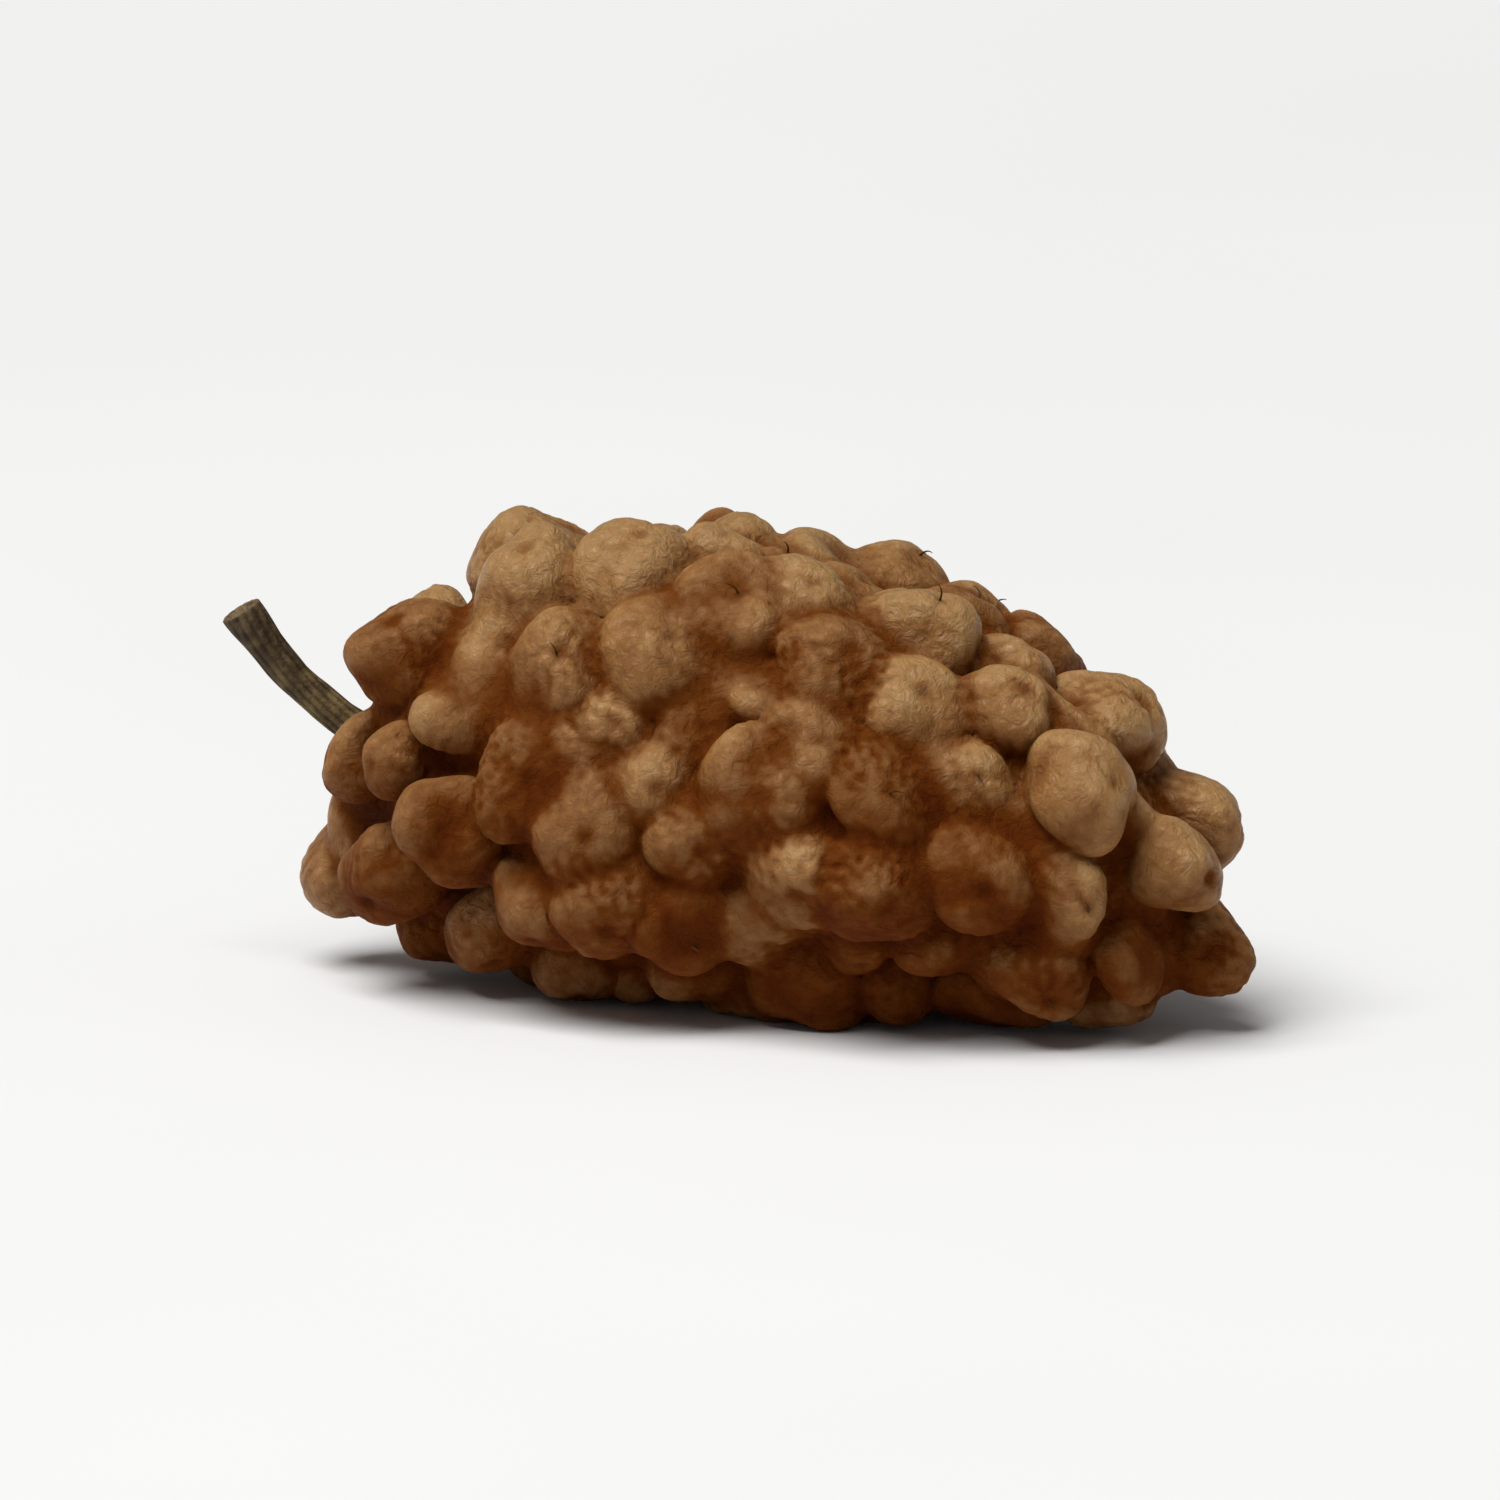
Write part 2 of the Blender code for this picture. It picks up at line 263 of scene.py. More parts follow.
def core_axes():
    return np.array((CORE_LENGTH, CORE_WIDTH, CORE_HEIGHT)) / 2


def onto_core(points):
    """Points moved straight from or to the middle, until they lie on the core's surface."""
    scaled = np.abs(points / core_axes())
    across = np.hypot(scaled[:, 1], scaled[:, 2])
    level = scaled[:, 0] ** CORE_BLUNTNESS + across**CORE_BLUNTNESS
    return points / level[:, None] ** (1 / CORE_BLUNTNESS)


def core_normals(points):
    axes = core_axes()
    scaled = points / axes
    across = np.maximum(np.hypot(scaled[:, 1], scaled[:, 2]), TINY)
    power = CORE_BLUNTNESS - 2
    along = scaled[:, 0] * np.abs(scaled[:, 0]) ** power / axes[0]
    sideways = scaled[:, 1:] * across[:, None] ** power / axes[1:]
    normals = np.column_stack((along, sideways))
    return normals / np.linalg.norm(normals, axis=1)[:, None]


def stalk_seat():
    return np.array([[-CORE_LENGTH / 2, 0, 0]])


def drupelet_seats(draw):
    """(seats, sizes): points spread over the core until no drupelet crowds another."""
    golden = math.pi * (3 - math.sqrt(5))
    turn = golden * np.arange(DRUPELETS)
    along = 1 - 2 * (np.arange(DRUPELETS) + 0.5) / DRUPELETS
    across = np.sqrt(1 - along**2)
    spiral = np.column_stack((along, across * np.cos(turn), across * np.sin(turn)))
    spiral += draw.normal(0, SPIRAL_SCATTER, spiral.shape)
    sizes = np.clip(draw.normal(1, SIZE_SPREAD, DRUPELETS), *SIZE_RANGE)
    seats = np.vstack((onto_core(spiral * core_axes()), stalk_seat()))
    reach = np.append(sizes, STALK_ROOM)
    same = np.eye(len(seats))
    for _ in range(RELAXING_STEPS):
        apart = seats[:, None] - seats[None]
        distance = np.linalg.norm(apart, axis=2) + same
        wanted = (reach[:, None] + reach[None]) / 2 * DRUPELET_WIDTH
        push = np.clip(1 - distance / wanted, 0, 1) * (1 - same) / distance
        shift = np.einsum("ij,ijk->ik", push, apart)
        seats = onto_core(seats + RELAXING_SHARE * DRUPELET_WIDTH * shift)
        seats[-1] = stalk_seat()
    return seats[:-1], sizes


def outward_frame(normal):
    """Columns: towards the tip, round the fruit, and out, the last leaning to the tip."""
    out = normal + LEAN_TO_TIP * (TIP - normal * normal[0])
    out /= np.linalg.norm(out)
    sideways = np.cross(out, TIP)
    sideways /= np.linalg.norm(sideways)
    return np.column_stack((np.cross(sideways, out), sideways, out))


def hollow(angle, width_deg):
    """1 in the middle of a pit, seam or dent, and 0 well away from it."""
    return np.exp(-((angle / math.radians(width_deg)) ** 2))


def bud_seats(seats, sizes, draw):
    """(seats, sizes) of the buds, each in the widest gap that is left."""
    tries = onto_core(draw.normal(0, 1, (BUD_TRIES, 3)) * core_axes())
    taken = np.vstack((seats, stalk_seat()))
    reach = np.append(sizes, BUD_STALK_ROOM) * DRUPELET_WIDTH / 2
    room = (np.linalg.norm(tries[:, None] - taken[None], axis=2) - reach).min(axis=1)
    chosen = []
    widths = []
    for _ in range(BUDS):
        best = np.argmax(room)
        width = np.clip(BUD_FILL * 2 * room[best] / DRUPELET_WIDTH, *BUD_SIZE_RANGE)
        chosen.append(tries[best])
        widths.append(width)
        away = np.linalg.norm(tries - tries[best], axis=1) - width * DRUPELET_WIDTH / 2
        room = np.minimum(room, away)
    return np.array(chosen), np.array(widths)


def small_dents(directions, ways, depths):
    """How far each of a drupelet's points has fallen into the small dents around it."""
    angles = np.arccos(np.clip(directions @ ways.T, -1, 1))
    return hollow(angles, SMALL_DENT_WIDTH_DEG) @ depths


def drupelet_points(directions, turned, dent, folds):
    """A drupelet round +Z, standing on the core's surface.

    directions are those of a ball's points, turned is where its first seam is, dent is the
    direction in which a shrunken drupelet has fallen in, or None, and folds is the depth of its
    small dents.
    """
    up = np.clip(directions[:, 2], -1, 1)
    polar = np.arccos(up)
    sector = 2 * math.pi / SEPALS
    round_it = np.arctan2(directions[:, 1], directions[:, 0]) - turned
    from_seam = np.abs((round_it + sector / 2) % sector - sector / 2) * np.sin(polar)
    shoulder = np.clip(np.sin(2 * polar), 0, 1) * (up > 0)
    depth = SEAM_DEPTH * hollow(from_seam, SEAM_WIDTH_DEG) * shoulder
    depth += PIT_DEPTH * hollow(polar, PIT_WIDTH_DEG) + folds
    depth -= SEPAL_LAP * np.tanh(SEPAL_EDGE * np.sin(SEPALS / 2 * round_it)) * shoulder
    height = DRUPELET_HEIGHT
    if dent is not None:
        from_dent = np.arccos(np.clip(directions @ dent, -1, 1))
        depth += DENT_DEPTH * hollow(from_dent, DENT_WIDTH_DEG)
        height *= SHRUNKEN_HEIGHT
    points = directions * (1 - depth)[:, None]
    points[:, :2] *= 1 + (1 - ROOT_WIDTH) * np.minimum(up, 0)[:, None]
    points *= np.array((DRUPELET_WIDTH, DRUPELET_WIDTH, height)) / 2
    points[:, 2] += DRUPELET_CENTRE
    return points


def lumps(points):
    """A smooth unevenness between -1 and 1, in waves about LUMP_LENGTH long."""
    phases = 2 * math.pi / LUMP_LENGTH * points
    waves = [np.sin(phases @ np.array(way) + start) for way, start in LUMP_WAVES]
    return np.mean(waves, axis=0)


def turned_plane(first, second, degrees):
    """Two coordinates of some points, turned from the first axis towards the second."""
    cosine = math.cos(math.radians(degrees))
    sine = math.sin(math.radians(degrees))
    return first * cosine - second * sine, first * sine + second * cosine


def dried(points):
    """Bends the straight fruit's points to the shape that it dried in."""
    distance = np.maximum(np.linalg.norm(points, axis=1), TINY)
    lumpy = points * (1 + LUMP_HEIGHT * lumps(points) / distance)[:, None]
    x = lumpy[:, 0]
    along = x / (CORE_LENGTH / 2)
    y, z = lumpy[:, 1:].T * (1 - TIP_TAPER * along)
    y, z = turned_plane(y, z, ROLL_DEG)
    y -= SIDE_BEND * along**2
    z -= ARCH * along**2
    x, z = turned_plane(x, z, -NOSE_DOWN_DEG)
    sagged = SAG_FROM - SAG_DEPTH * np.tanh((SAG_FROM - z) / SAG_DEPTH)
    z = np.where(z < SAG_FROM, sagged, z)
    return np.column_stack((x, y, z))


def ball(subdivisions):
    """The points of a unit ball, and its triangles."""
    body = bmesh.new()
    bmesh.ops.create_icosphere(body, subdivisions=subdivisions, radius=1)
    points = np.array([vert.co for vert in body.verts])
    faces = np.array([[vert.index for vert in face.verts] for face in body.faces])
    body.free()
    return points, faces


def unevenness(points, wavelength, draw):
    """A smooth random height at each point, mostly between -1 and 1."""
    ways = draw.normal(0, 1, (WAVES, 3))
    ways /= np.linalg.norm(ways, axis=1)[:, None]
    starts = draw.uniform(0, 2 * math.pi, WAVES)
    phases = points @ ways.T * (2 * math.pi / wavelength) + starts
    return np.sin(phases).sum(axis=1) / math.sqrt(WAVES)


def drupelet_shapes(directions):
    """The points of every drupelet, and then of every bud, in the dried fruit."""
    draw = np.random.default_rng(SEED)
    seats, sizes = drupelet_seats(draw)
    shrunken = draw.random(DRUPELETS) < SHRUNKEN_SHARE
    turned = draw.uniform(0, 2 * math.pi, DRUPELETS)
    dents = draw.normal(0, 1, (DRUPELETS, 3)) + (0, 0, DENT_ON_TOP)
    dents /= np.linalg.norm(dents, axis=1)[:, None]
    detail = np.random.default_rng(DETAIL_SEED)
    buds, bud_sizes = bud_seats(seats, sizes, detail)
    buds *= 1 - BUD_SINK / np.linalg.norm(buds, axis=1)[:, None]
    seats = np.vstack((seats, buds))
    sizes = np.append(sizes, bud_sizes)
    turned = np.append(turned, detail.uniform(0, 2 * math.pi, BUDS))
    ways = detail.normal(0, 1, (len(seats), SMALL_DENTS, 3)) + (0, 0, SMALL_DENTS_ON_TOP)
    ways /= np.linalg.norm(ways, axis=2)[:, :, None]
    depths = SMALL_DENT_DEPTH * detail.random((len(seats), SMALL_DENTS))
    shapes = []
    for number, (seat, normal) in enumerate(zip(seats, core_normals(seats))):
        dent = dents[number] if number < DRUPELETS and shrunken[number] else None
        folds = small_dents(directions, ways[number], depths[number])
        local = sizes[number] * drupelet_points(directions, turned[number], dent, folds)
        shapes.append(dried(seat + local @ outward_frame(normal).T))
    return shapes


def flesh_shape(directions, draw):
    """The points of the core and the flesh on it, which fills the space between drupelets."""
    points = onto_core(directions * core_axes())
    height = FLESH_HEIGHT + FLESH_SPREAD * unevenness(points, FLESH_LENGTH, draw)
    return dried(points + height[:, None] * core_normals(points))


def mesh_object(name, points, faces):
    mesh = bpy.data.meshes.new(name)
    mesh.from_pydata(points.tolist(), [], faces)
    obj = bpy.data.objects.new(name, mesh)
    bpy.context.scene.collection.objects.link(obj)
    return obj


def apply_modifiers(obj):
    graph = bpy.context.evaluated_depsgraph_get()
    obj.data = bpy.data.meshes.new_from_object(obj.evaluated_get(graph))
    obj.modifiers.clear()


def joined(shapes):
    """The points and faces of several shapes, as those of one."""
    points = np.vstack([points for points, _ in shapes])
    starts = np.cumsum([0] + [len(points) for points, _ in shapes])
    faces = [
        [corner + start for corner in face]
        for (_, faces), start in zip(shapes, starts.tolist())
        for face in faces
    ]
    return points, faces


def cover_with_one_skin(obj):
    """Turns shapes that run into each other into one even skin of small squares."""
    remesh = obj.modifiers.new("one skin", "REMESH")
    remesh.mode = "VOXEL"
    remesh.voxel_size = VOXEL
    apply_modifiers(obj)


def drop_scraps(obj):
    """Keeps the largest part of a mesh, without the scraps that sealed gaps leave inside it."""
    body = bmesh.new()
    body.from_mesh(obj.data)
    waiting = set(body.verts)
    parts = []
    while waiting:
        part = [waiting.pop()]
        for vert in part:
            near = {edge.other_vert(vert) for edge in vert.link_edges} & waiting
            waiting -= near
            part.extend(near)
        parts.append(part)
    parts.sort(key=len)
    scraps = [vert for part in parts[:-1] for vert in part]
    bmesh.ops.delete(body, geom=scraps, context="VERTS")
    body.to_mesh(obj.data)
    body.free()


def thin_out(obj, triangles):
    thinning = obj.modifiers.new("thin out", "DECIMATE")
    thinning.ratio = triangles / (2 * len(obj.data.polygons))
    thinning.use_collapse_triangulate = True
    apply_modifiers(obj)


def read_points(mesh):
    points = np.empty(len(mesh.vertices) * 3)
    mesh.vertices.foreach_get("co", points)
    return points.reshape(-1, 3)


def write_points(mesh, points):
    mesh.vertices.foreach_set("co", points.ravel())
    mesh.update()


def read_normals(mesh):
    normals = np.empty(len(mesh.vertices) * 3)
    mesh.vertex_normals.foreach_get("vector", normals)
    return normals.reshape(-1, 3)


def add_attribute(mesh, name, values):
    layer = mesh.attributes.new(name, "FLOAT", "POINT")
    layer.data.foreach_set("value", values.astype(np.float32))


def spring_net(mesh):
    """Pairs of points, along the sides and the diagonals of the mesh's squares."""
    edges = np.empty(len(mesh.edges) * 2, dtype=int)
    mesh.edges.foreach_get("vertices", edges)
    corners = np.empty(len(mesh.loops), dtype=int)
    mesh.loops.foreach_get("vertex_index", corners)
    corners = corners.reshape(-1, 4)
    return np.vstack((edges.reshape(-1, 2), corners[:, [0, 2]], corners[:, [1, 3]]))


def averaged(values, springs, weights, steps):
    """The values, each moved halfway to the weighted mean of its neighbours' this many times."""
    first, second = springs.T
    count = len(values)
    total = np.bincount(first, weights, count) + np.bincount(second, weights, count)
    for _ in range(steps):
        near = np.bincount(first, weights * values[second], count)
        near += np.bincount(second, weights * values[first], count)
        values = (values + near / total) / 2
    return values


def smoothed(points, springs, steps):
    even = np.ones(len(springs))
    return np.column_stack([averaged(axis, springs, even, steps) for axis in points.T])


def bulge(points, normals, springs, steps):
    """How far each point stands out of its surroundings."""
    return ((points - smoothed(points, springs, steps)) * normals).sum(axis=1)


def nearest_drupelet(points, shapes):
    """For each point, the number of the drupelet nearest to it, and of that drupelet's point."""
    tree = KDTree(len(shapes) * len(shapes[0]))
    for number, place in enumerate(np.vstack(shapes).tolist()):
        tree.insert(place, number)
    tree.balance()
    found = np.array([tree.find(place)[1] for place in points.tolist()])
    return np.divmod(found, len(shapes[0]))


def down_the_sides(points, normals, tops):
    """For each point, the direction along the skin away from the top of its drupelet."""
    ways = points - tops
    ways -= (ways * normals).sum(axis=1)[:, None] * normals
    return ways / np.maximum(np.linalg.norm(ways, axis=1), TINY)[:, None]


def wrinkle_pattern(points, springs, ways, draw):
    """Ridges and creases that spread over a shrinking skin, between about -1 and 1.

    The creases tend to follow the directions in ways. The pattern grows out of noise, as what
    stands out of its surroundings stands out more each time.
    """
    first, second = springs.T
    apart = points[second] - points[first]
    length = np.maximum(np.linalg.norm(apart, axis=1), VOXEL / 2)
    along = (((ways[first] + ways[second]) / 2 * apart).sum(axis=1) / length) ** 2
    even = 1 / length**2
    combed = even * (1 - WRINKLE_COMBING + 2 * WRINKLE_COMBING * along)
    spread = (WRINKLE_LENGTH / (2 * math.pi)) ** 2 / (STEP_SPREAD * VOXEL**2)
    pattern = draw.uniform(-1, 1, len(points))
    for _ in range(WRINKLE_ROUNDS):
        fine = averaged(pattern, springs, combed, round(spread))
        broad = averaged(fine, springs, even, round(WRINKLE_BAND * spread))
        pattern = np.tanh(WRINKLE_GAIN * (fine - broad))
    return averaged(pattern, springs, even, 1)


def wrinkle_height(points, normals, springs, owner, polar, shapes, draw):
    """How far the wrinkles lift each point of the skin."""
    tops = np.array([shape[-1] for shape in shapes])[owner]
    ways = down_the_sides(points, normals, tops)
    pattern = wrinkle_pattern(points, springs, ways, draw)
    strength = draw.uniform(*WRINKLE_STRENGTH_RANGE, len(shapes))[owner]
    strength = averaged(strength, springs, np.ones(len(springs)), TONE_STEPS)
    uneven = unevenness(points, WRINKLE_PATCH_LENGTH, draw)
    patches = np.clip(WRINKLE_PATCH_MEAN + WRINKLE_PATCH_SPREAD * uneven, *WRINKLE_PATCH_RANGE)
    strength *= patches * (1 - hollow(polar, SMOOTH_ROUND_PIT_DEG))
    rounded = 1 - np.exp(-WRINKLE_SHARPNESS * (pattern + 1))
    return WRINKLE_HEIGHT * strength * rounded


def gaps_filled(points, normals, springs):
    """Raises the bottoms of the gaps between drupelets, as the sticky flesh fills them."""
    depth = np.maximum(-bulge(points, normals, springs, GAP_STEPS), 0)
    return points + GAP_SHARE * depth[:, None] * normals


def fitted(points, low, high, node):
    """Moves points from the lay-out into the frame, so that low and high meet a node's box."""
    box_low, box_high = (np.array(corner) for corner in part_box(node))
    return box_low + (points - low) * (box_high - box_low) / (high - low)


def nearness_to_stalk(points):
    """1 on the stalk's middle line, and 0 well away from it."""
    apart = np.full(len(points), np.inf)
    for station in stalk_path()[::DIMPLE_STATIONS_APART]:
        apart = np.minimum(apart, np.linalg.norm(points - station, axis=1))
    return np.exp(-((apart / DIMPLE_WIDTH) ** 2))


def dimpled(points):
    """Sinks the skin where the stalk stands in it."""
    inner, outer = stalk_path()[:2]
    way = (inner - outer) / np.linalg.norm(inner - outer)
    return points + DIMPLE_DEPTH * nearness_to_stalk(points)[:, None] * way


def raw_skin(shapes):
    """One skin round all the shapes, with its springs, before it wrinkles."""
    skin = mesh_object("fruit_skin", *joined(shapes))
    cover_with_one_skin(skin)
    drop_scraps(skin)
    springs = spring_net(skin.data)
    points = smoothed(read_points(skin.data), springs, SMOOTHING_STEPS)
    write_points(skin.data, points)
    points = gaps_filled(points, read_normals(skin.data), springs)
    write_points(skin.data, dimpled(points))
    return skin, springs


def colour_marks(skin, springs, owner, polar, draw):
    """Marks each point of the skin with what its colour depends on."""
    points = read_points(skin.data)
    normals = read_normals(skin.data)
    even = np.ones(len(springs))
    along = points[:, 0] / np.abs(points[:, 0]).max()
    tone = draw.random(owner.max() + 1)[owner] + END_PALENESS * along**END_POWER
    pit = hollow(polar, PIT_COLOUR_WIDTH_DEG) * draw.random(owner.max() + 1)[owner]
    # painted shade: the lower a point stands and the more its normal faces down, the darker its
    # colour is painted
    low, high = points[:, 2].min(), points[:, 2].max()
    level = 2 * (points[:, 2] - low) / (high - low) - 1
    broad = bulge(points, normals, springs, BROAD_STEPS)
    fine = bulge(points, normals, springs, FINE_STEPS)
    # painted shade and light: the gaps between drupelets are painted darker and their tops paler
    add_attribute(skin.data, "height", broad / BROAD_BUMP)
    # painted shade in the fine creases, and painted light on the wrinkles' ridges
    add_attribute(skin.data, "painted_crease_shade", fine / FINE_BUMP)
    add_attribute(skin.data, "pit", np.maximum(pit, nearness_to_stalk(points)))
    add_attribute(skin.data, "tone", averaged(tone, springs, even, TONE_STEPS))
    add_attribute(skin.data, "painted_underside_shade", (normals[:, 2] + level) / 2)


def ball_from_below():
    """A unit ball whose points are in order of height, so that its last point is its top."""
    points, faces = ball(BEAD_SUBDIVISIONS)
    order = np.argsort(points[:, 2])
    return points[order], np.argsort(order)[faces].tolist()


def wrinkle(skin, springs, directions, shapes, draw):
    """Wrinkles and crumples the skin, and marks it with what its colour depends on."""
    points = read_points(skin.data)
    normals = read_normals(skin.data)
    owner, spot = nearest_drupelet(points, shapes)
    polar = np.arccos(np.clip(directions[spot, 2], -1, 1))
    height = wrinkle_height(points, normals, springs, owner, polar, shapes, draw)
    height += CRUMPLE_HEIGHT * unevenness(points, CRUMPLE_LENGTH, draw)
    write_points(skin.data, points + height[:, None] * normals)
    colour_marks(skin, springs, owner, polar, draw)


def lay_down(skin):
    """Moves the skin into the frame, pressed flat on the floor, and returns what it spanned."""
    points = read_points(skin.data)
    low, high = points.min(axis=0), points.max(axis=0)
    low[2] += FLOOR_BITE
    points = fitted(points, low, high, "fruit")
    points[:, 2] = np.maximum(points[:, 2], 0)
    write_points(skin.data, points)
    return low, high


def make_skin():
    """(skin, tops): the fruit's fine skin, and where the drupelets' pits are."""
    draw = np.random.default_rng(DETAIL_SEED)
    directions, faces = ball_from_below()
    shapes = drupelet_shapes(directions)
    globe, globe_faces = ball(CORE_SUBDIVISIONS)
    flesh = flesh_shape(globe, draw)
    skin, springs = raw_skin([(flesh, globe_faces.tolist())] + [(shape, faces) for shape in shapes])
    wrinkle(skin, springs, directions, shapes, draw)
    thin_out(skin, SKIN_TRIANGLES)
    low, high = lay_down(skin)
    skin.data.materials.append(skin_material())
    skin.data.shade_smooth()
    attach(skin, "root")
    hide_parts("fruit")
    return skin, fitted(np.array([shape[-1] for shape in shapes]), low, high, "fruit")


def stalk_path():
    """The middle line of the stalk, from inside the fruit to where it came off the twig."""
    share = np.linspace(0, 1, STALK_STATIONS)
    rise = np.radians(STALK_RISE_DEG + STALK_CURL_DEG * share)
    swing = np.radians(STALK_SWING_DEG * share)
    heading = np.column_stack(
        (-np.cos(rise) * np.cos(swing), np.cos(rise) * np.sin(swing), np.sin(rise))
    )
    path = np.cumsum(heading, axis=0) * STALK_LENGTH / STALK_STATIONS
    inner = dried(stalk_seat())[0] - heading[0] * STALK_BURIED
    path += inner - path[0]
    fine = np.linspace(0, 1, STALK_FINE_STATIONS)
    return np.column_stack([np.interp(fine, share, axis) for axis in path.T])


def stalk_radii(draw):
    """How thick the stalk is at each station and side, with its ridges and its uneven growth."""
    share = np.linspace(0, 1, STALK_FINE_STATIONS)
    calyx = (STALK_CALYX - 1) * np.exp(-((share / STALK_CALYX_REACH) ** 2))
    knob = (STALK_KNOB - 1) * np.exp(-(((1 - share) / STALK_KNOB_REACH) ** 2))
    angle = 2 * math.pi * np.arange(STALK_SIDES) / STALK_SIDES
    turned = angle[None] + math.radians(STALK_TWIST_DEG) * share[:, None]
    ridges = np.abs(np.sin(STALK_RIDGES / 2 * turned)) - 1
    place = np.stack(np.broadcast_arrays(
        np.cos(turned) * STALK_DIAMETER / 2,
        np.sin(turned) * STALK_DIAMETER / 2,
        share[:, None] * STALK_LENGTH,
    ), axis=-1)
    bumps = unevenness(place.reshape(-1, 3), STALK_BUMP_LENGTH, draw).reshape(turned.shape)
    relief = 1 + STALK_RIDGE_DEPTH * ridges + STALK_BUMP_DEPTH * bumps
    return STALK_DIAMETER / 2 * (1 + calyx + knob)[:, None] * relief, ridges


def tube(path, radii, reference, end=()):
    """The points, by station and side, and faces of a closed tube round a path.

    end has (onward, width) for each ring past the last station: how far on it is, and how wide
    as a share of the last station.
    """
    heading = np.gradient(path, axis=0)
    heading /= np.linalg.norm(heading, axis=1)[:, None]
    across = np.cross(heading, reference)
    across /= np.linalg.norm(across, axis=1)[:, None]
    upward = np.cross(across, heading)
    angle = 2 * math.pi * np.arange(radii.shape[1]) / radii.shape[1]
    rim = np.cos(angle)[:, None] * across[:, None] + np.sin(angle)[:, None] * upward[:, None]
    spokes = radii[:, :, None] * rim
    rings = list(path[:, None] + spokes)
    rings += [path[-1] + onward * heading[-1] + width * spokes[-1] for onward, width in end]
    points = np.array(rings)
    corner = np.arange(points[..., 0].size).reshape(points.shape[:2])
    after = np.roll(corner, -1, axis=1)
    squares = np.stack((corner[:-1], corner[1:], after[1:], after[:-1]), axis=-1)
    faces = squares.reshape(-1, 4).tolist()
    faces += [corner[0].tolist(), corner[-1][::-1].tolist()]
    return points.reshape(-1, 3), faces


def make_stalk():
    radii, ridges = stalk_radii(np.random.default_rng(DETAIL_SEED))
    points, faces = tube(stalk_path(), radii, (0.0, 0.0, 1.0), STALK_END)
    points = fitted(points, points.min(axis=0), points.max(axis=0), "stalk")
    stalk = mesh_object("fruit_stalk", points, faces)
    bark = np.arange(len(points)) < ridges.size
    add_attribute(stalk.data, "groove", np.append(-ridges, np.zeros(len(points) - ridges.size)))
    add_attribute(stalk.data, "cut", 1 - bark)
    add_attribute(stalk.data, "along", np.arange(len(points)) / len(points))
    stalk.data.materials.append(stalk_material())
    stalk.data.shade_smooth()
    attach(stalk, "root")
    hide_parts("stalk")


def style_shape(root, normal, draw):
    """A thread that leaves a pit and bends over along the skin."""
    sideways = np.cross(normal, draw.normal(0, 1, 3))
    sideways /= np.linalg.norm(sideways)
    length = draw.uniform(*STYLE_LENGTH_RANGE) * METRES
    bend = draw.uniform(*STYLE_BEND_RANGE)
    share = np.linspace(0, 1, STYLE_STATIONS)
    angle = bend * share
    steps = np.cos(angle)[:, None] * normal + np.sin(angle)[:, None] * sideways
    path = root + (np.cumsum(steps, axis=0) - steps[0]) * length / STYLE_STATIONS
    radii = STYLE_WIDTH * METRES / 2 * (1 - STYLE_TAPER * share)
    return tube(path, np.tile(radii[:, None], STYLE_SIDES), np.cross(normal, sideways))


def make_styles(skin, tops):
    """The dried styles, all as one piece."""
    draw = np.random.default_rng(DETAIL_SEED)
    tree = KDTree(len(skin.data.vertices))
    for number, vert in enumerate(skin.data.vertices):
        tree.insert(vert.co, number)
    tree.balance()
    shapes = []
    low, high = (np.array(corner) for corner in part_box("fruit"))
    room = STYLE_ROOM * METRES
    for top in tops[:DRUPELETS]:
        inside = (top > low + room).all() and (top < high - room).all()
        if inside and draw.random() < STYLE_SHARE:
            root, number, _ = tree.find(top)
            normal = np.array(skin.data.vertices[number].normal)
            shapes.append(style_shape(np.array(root), normal, draw))
    styles = mesh_object("dried_styles", *joined(shapes))
    styles.data.materials.append(style_material())
    styles.data.shade_smooth()
    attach(styles, "root")


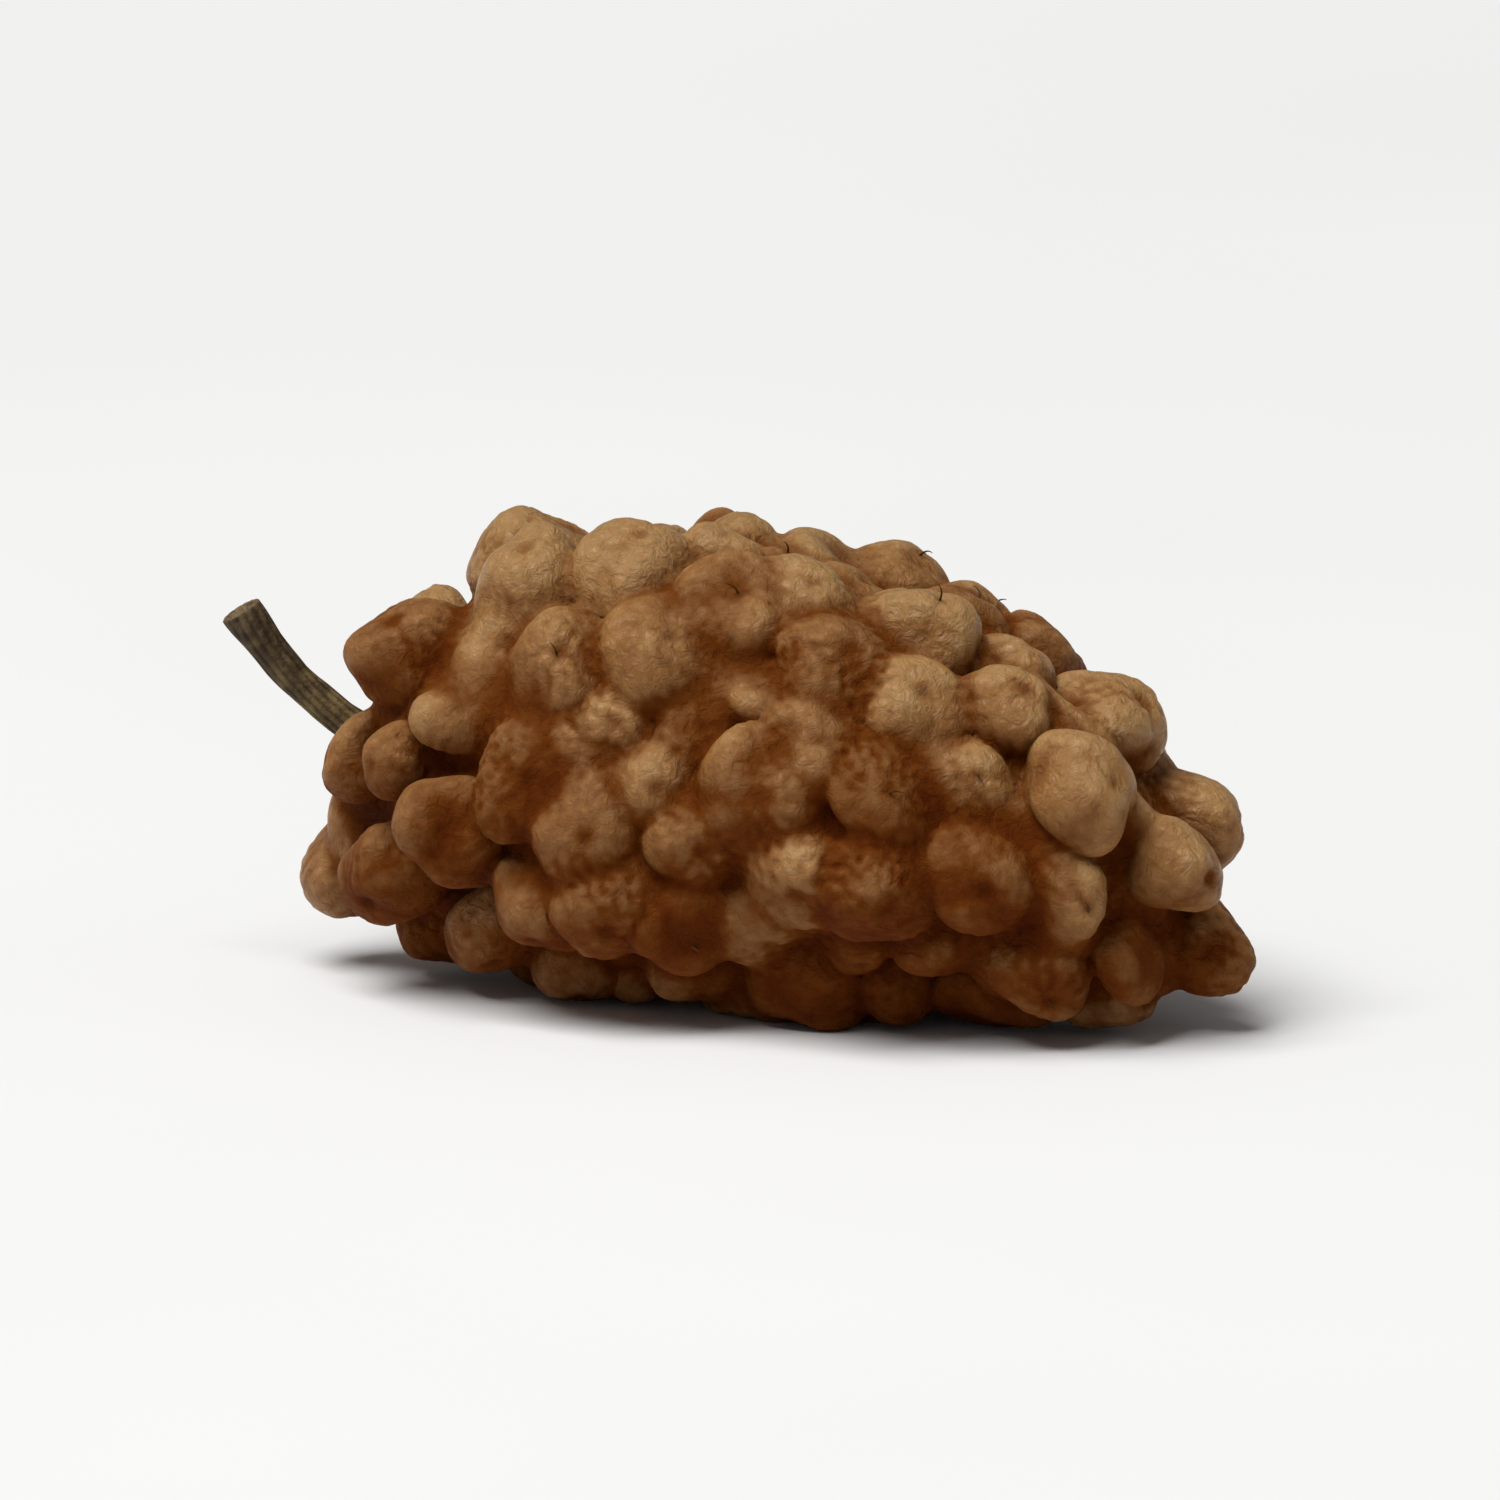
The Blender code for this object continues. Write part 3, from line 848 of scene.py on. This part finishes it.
class Recipe:
    """A material whose nodes are added one by one."""

    def __init__(self, name):
        self.material = bpy.data.materials.new(name)
        self.material.use_nodes = True
        self.tree = self.material.node_tree
        self.shader = self.tree.nodes["Principled BSDF"]
        self.coordinates = self.tree.nodes.new("ShaderNodeTexCoord").outputs["Object"]

    def feed(self, socket, value):
        """Links a socket to another, or sets it to a number or a colour."""
        if isinstance(value, bpy.types.NodeSocket):
            self.tree.links.new(value, socket)
        elif socket.type == "RGBA":
            socket.default_value = (*value, 1)
        else:
            socket.default_value = value

    def set(self, **values):
        """Sets the shader's own sockets, named with _ for a space."""
        for name, value in values.items():
            self.feed(self.shader.inputs[name.replace("_", " ")], value)

    def node(self, kind, inputs, **settings):
        node = self.tree.nodes.new(kind)
        for name, value in settings.items():
            setattr(node, name, value)
        for name, value in inputs.items():
            self.feed(node.inputs[name], value)
        return node

    def attribute(self, name):
        return self.node("ShaderNodeAttribute", {}, attribute_name=name).outputs["Fac"]

    def noise(self, grain, detail=3.0, roughness=0.5, distortion=0.0):
        """Noise between 0 and 1, whose grains are this many millimetres."""
        inputs = {
            "Vector": self.coordinates,
            "Scale": 1 / (grain * METRES),
            "Detail": detail,
            "Roughness": roughness,
            "Distortion": distortion,
        }
        return self.node("ShaderNodeTexNoise", inputs).outputs["Fac"]

    def added(self, *values):
        total = values[0]
        for value in values[1:]:
            total = self.node("ShaderNodeMath", {0: total, 1: value}, operation="ADD").outputs[0]
        return total

    def between(self, value, low, high, to_low=0.0, to_high=1.0):
        """The value, mapped smoothly from one range to another and kept inside it."""
        inputs = {
            "Value": value,
            "From Min": low,
            "From Max": high,
            "To Min": to_low,
            "To Max": to_high,
        }
        return self.node("ShaderNodeMapRange", inputs, interpolation_type="SMOOTHSTEP").outputs[0]

    def ramp(self, value, stops):
        """A colour read off a scale of (place, colour) stops."""
        ramp = self.node("ShaderNodeValToRGB", {"Fac": value})
        elements = ramp.color_ramp.elements
        while len(elements) < len(stops):
            elements.new(1.0)
        for element, (place, colour) in zip(elements, stops):
            element.position = place
            element.color = (*colour, 1)
        return ramp.outputs["Color"]

    def mixed(self, share, first, second, way="MIX"):
        node = self.node("ShaderNodeMix", {}, data_type="RGBA", blend_type=way)
        for number, value in zip(MIX_COLOUR_INPUTS, (share, first, second)):
            self.feed(node.inputs[number], value)
        return node.outputs[MIX_COLOUR_OUTPUT]

    def bumps(self, height, depth):
        """Raises the surface by a height between 0 and 1, this many millimetres high."""
        inputs = {"Height": height, "Strength": 1.0, "Distance": depth * METRES}
        normal = self.node("ShaderNodeBump", inputs).outputs["Normal"]
        self.set(Normal=normal, Coat_Normal=normal)


def skin_material():
    """Honey brown skin, painted pale on the drupelets' tops and on the upper side as painted light,
    and painted deep amber between and under them as painted shade.
    """
    recipe = Recipe("dried_skin")
    # painted shade in the gaps between the drupelets, and painted light on their tops
    height = recipe.between(recipe.attribute("height"), -1.5, 1.15, 0.33, 1.0)
    tone = recipe.between(recipe.attribute("tone"), 0.1, 1.0, -0.17, 0.16)
    mottle = recipe.between(recipe.noise(0.6, 4.0, 0.6), 0.3, 0.7, -0.08, 0.08)
    # painted shade in the fine creases, and painted light on the wrinkles' ridges
    painted_crease_shade = recipe.between(recipe.attribute("painted_crease_shade"), -1.5, 1.5, -0.1, 0.1)
    # painted shade: the lower side of the fruit and the undersides of the drupelets are painted
    # darker
    painted_underside_shade = recipe.between(recipe.attribute("painted_underside_shade"), -0.8, 0.8, -0.37, 0.0)
    paleness = recipe.added(height, tone, mottle, painted_crease_shade, painted_underside_shade)
    pit = recipe.between(recipe.attribute("pit"), 0.3, 0.9, 0.0, 0.4)
    colour = recipe.mixed(pit, recipe.ramp(paleness, SKIN_COLOURS), PIT_COLOUR)
    recipe.set(
        Base_Color=colour,
        Roughness=recipe.between(paleness, 0.47, 0.93, 0.7, 0.42),
        Specular_IOR_Level=0.07,
        Specular_Tint=(1.0, 0.72, 0.45),
        Coat_Weight=recipe.between(paleness, 0.53, 1.03, 0.0, 0.6),
        Coat_Roughness=0.34,
        Coat_Tint=(1.0, 0.93, 0.82),
        Subsurface_Weight=0.35,
        Subsurface_Scale=0.3 * METRES,
        Subsurface_Radius=(1.0, 0.35, 0.1),
    )
    recipe.bumps(recipe.noise(0.25, 5.0, 0.6, 0.8), 0.15)
    return recipe.material


def stalk_material():
    """Dry bark, olive near the fruit and grey-brown further on, painted darker in its grooves as
    painted shade, and a paler broken end.
    """
    recipe = Recipe("stalk")
    streaks = recipe.between(recipe.noise(0.3, 5.0), 0.3, 0.7, -0.35, 0.35)
    # painted shade: the bark is painted darker in the grooves between its ridges
    painted_groove_shade = recipe.between(recipe.attribute("groove"), 0.0, 1.0, 0.65, 0.2)
    bark = recipe.ramp(recipe.added(streaks, painted_groove_shade), BARK_COLOURS)
    onward = recipe.between(recipe.attribute("along"), 0.3, 0.9)
    bark = recipe.mixed(onward, bark, BARK_WEATHERING, "MULTIPLY")
    wood = recipe.ramp(recipe.noise(0.1), WOOD_COLOURS)
    colour = recipe.mixed(recipe.attribute("cut"), bark, wood)
    recipe.set(Base_Color=colour, Roughness=0.75, Specular_IOR_Level=0.3)
    recipe.bumps(recipe.noise(0.08, 4.0), 0.04)
    return recipe.material


def style_material():
    """Brittle brown threads, darker at some places than at others."""
    recipe = Recipe("dried_styles")
    colour = recipe.ramp(recipe.noise(0.5, 2.0), STYLE_COLOURS)
    recipe.set(Base_Color=colour, Roughness=0.8, Specular_IOR_Level=0.1)
    return recipe.material


def floor_material():
    recipe = Recipe("floor")
    colour = recipe.ramp(recipe.noise(40.0, 2.0), FLOOR_COLOURS)
    recipe.set(Base_Color=colour, Roughness=0.7)
    return recipe.material


def placed(obj, target, azimuth, elevation, distance):
    """Puts an eye or a light at a distance from its target, facing it. Azimuth 0 is at -Y."""
    turn = math.radians(azimuth)
    rise = math.radians(elevation)
    towards = Vector(
        (math.sin(turn) * math.cos(rise), -math.cos(turn) * math.cos(rise), math.sin(rise))
    )
    obj.location = target + towards * distance * METRES
    obj.rotation_euler = (-towards).to_track_quat("-Z", "Y").to_euler()
    bpy.context.scene.collection.objects.link(obj)


def make_camera(target):
    camera = bpy.data.cameras.new("camera")
    camera.sensor_width = SENSOR_WIDTH
    camera.lens = SENSOR_WIDTH * VIEW_DISTANCE / FRAME_WIDTH
    camera.clip_start = VIEW_NEAREST * METRES
    obj = bpy.data.objects.new("camera", camera)
    placed(obj, target, VIEW_AZIMUTH_DEG, VIEW_ELEVATION_DEG, VIEW_DISTANCE)
    bpy.context.scene.camera = obj


def make_light(target):
    """A soft window above the fruit, a little to the left of the view."""
    light = bpy.data.lights.new("window", "AREA")
    light.size = LIGHT_SIZE * METRES
    light.energy = LIGHT_WATTS
    obj = bpy.data.objects.new("window", light)
    placed(obj, target, LIGHT_AZIMUTH_DEG, LIGHT_ELEVATION_DEG, LIGHT_DISTANCE)


def make_room():
    world = bpy.data.worlds.new("room")
    world.use_nodes = True
    background = world.node_tree.nodes["Background"]
    background.inputs["Color"].default_value = (1, 1, 1, 1)
    background.inputs["Strength"].default_value = ROOM_BRIGHTNESS
    bpy.context.scene.world = world


def make_floor():
    reach = FLOOR_SIZE / 2
    corners = np.array(((-reach, -reach), (reach, -reach), (reach, reach), (-reach, reach)))
    corners = np.column_stack((corners, np.full(len(corners), -FLOOR_GAP))) * METRES
    floor = mesh_object("floor", corners, [(0, 1, 2, 3)])
    floor.data.materials.append(floor_material())


def main():
    low, high = CAD_BOX
    middle = (low + high) / 2
    make_camera(middle)
    make_light(middle)
    make_room()
    make_floor()
    skin, tops = make_skin()
    make_stalk()
    make_styles(skin, tops)
    bpy.context.scene.view_settings.view_transform = "Standard"


main()
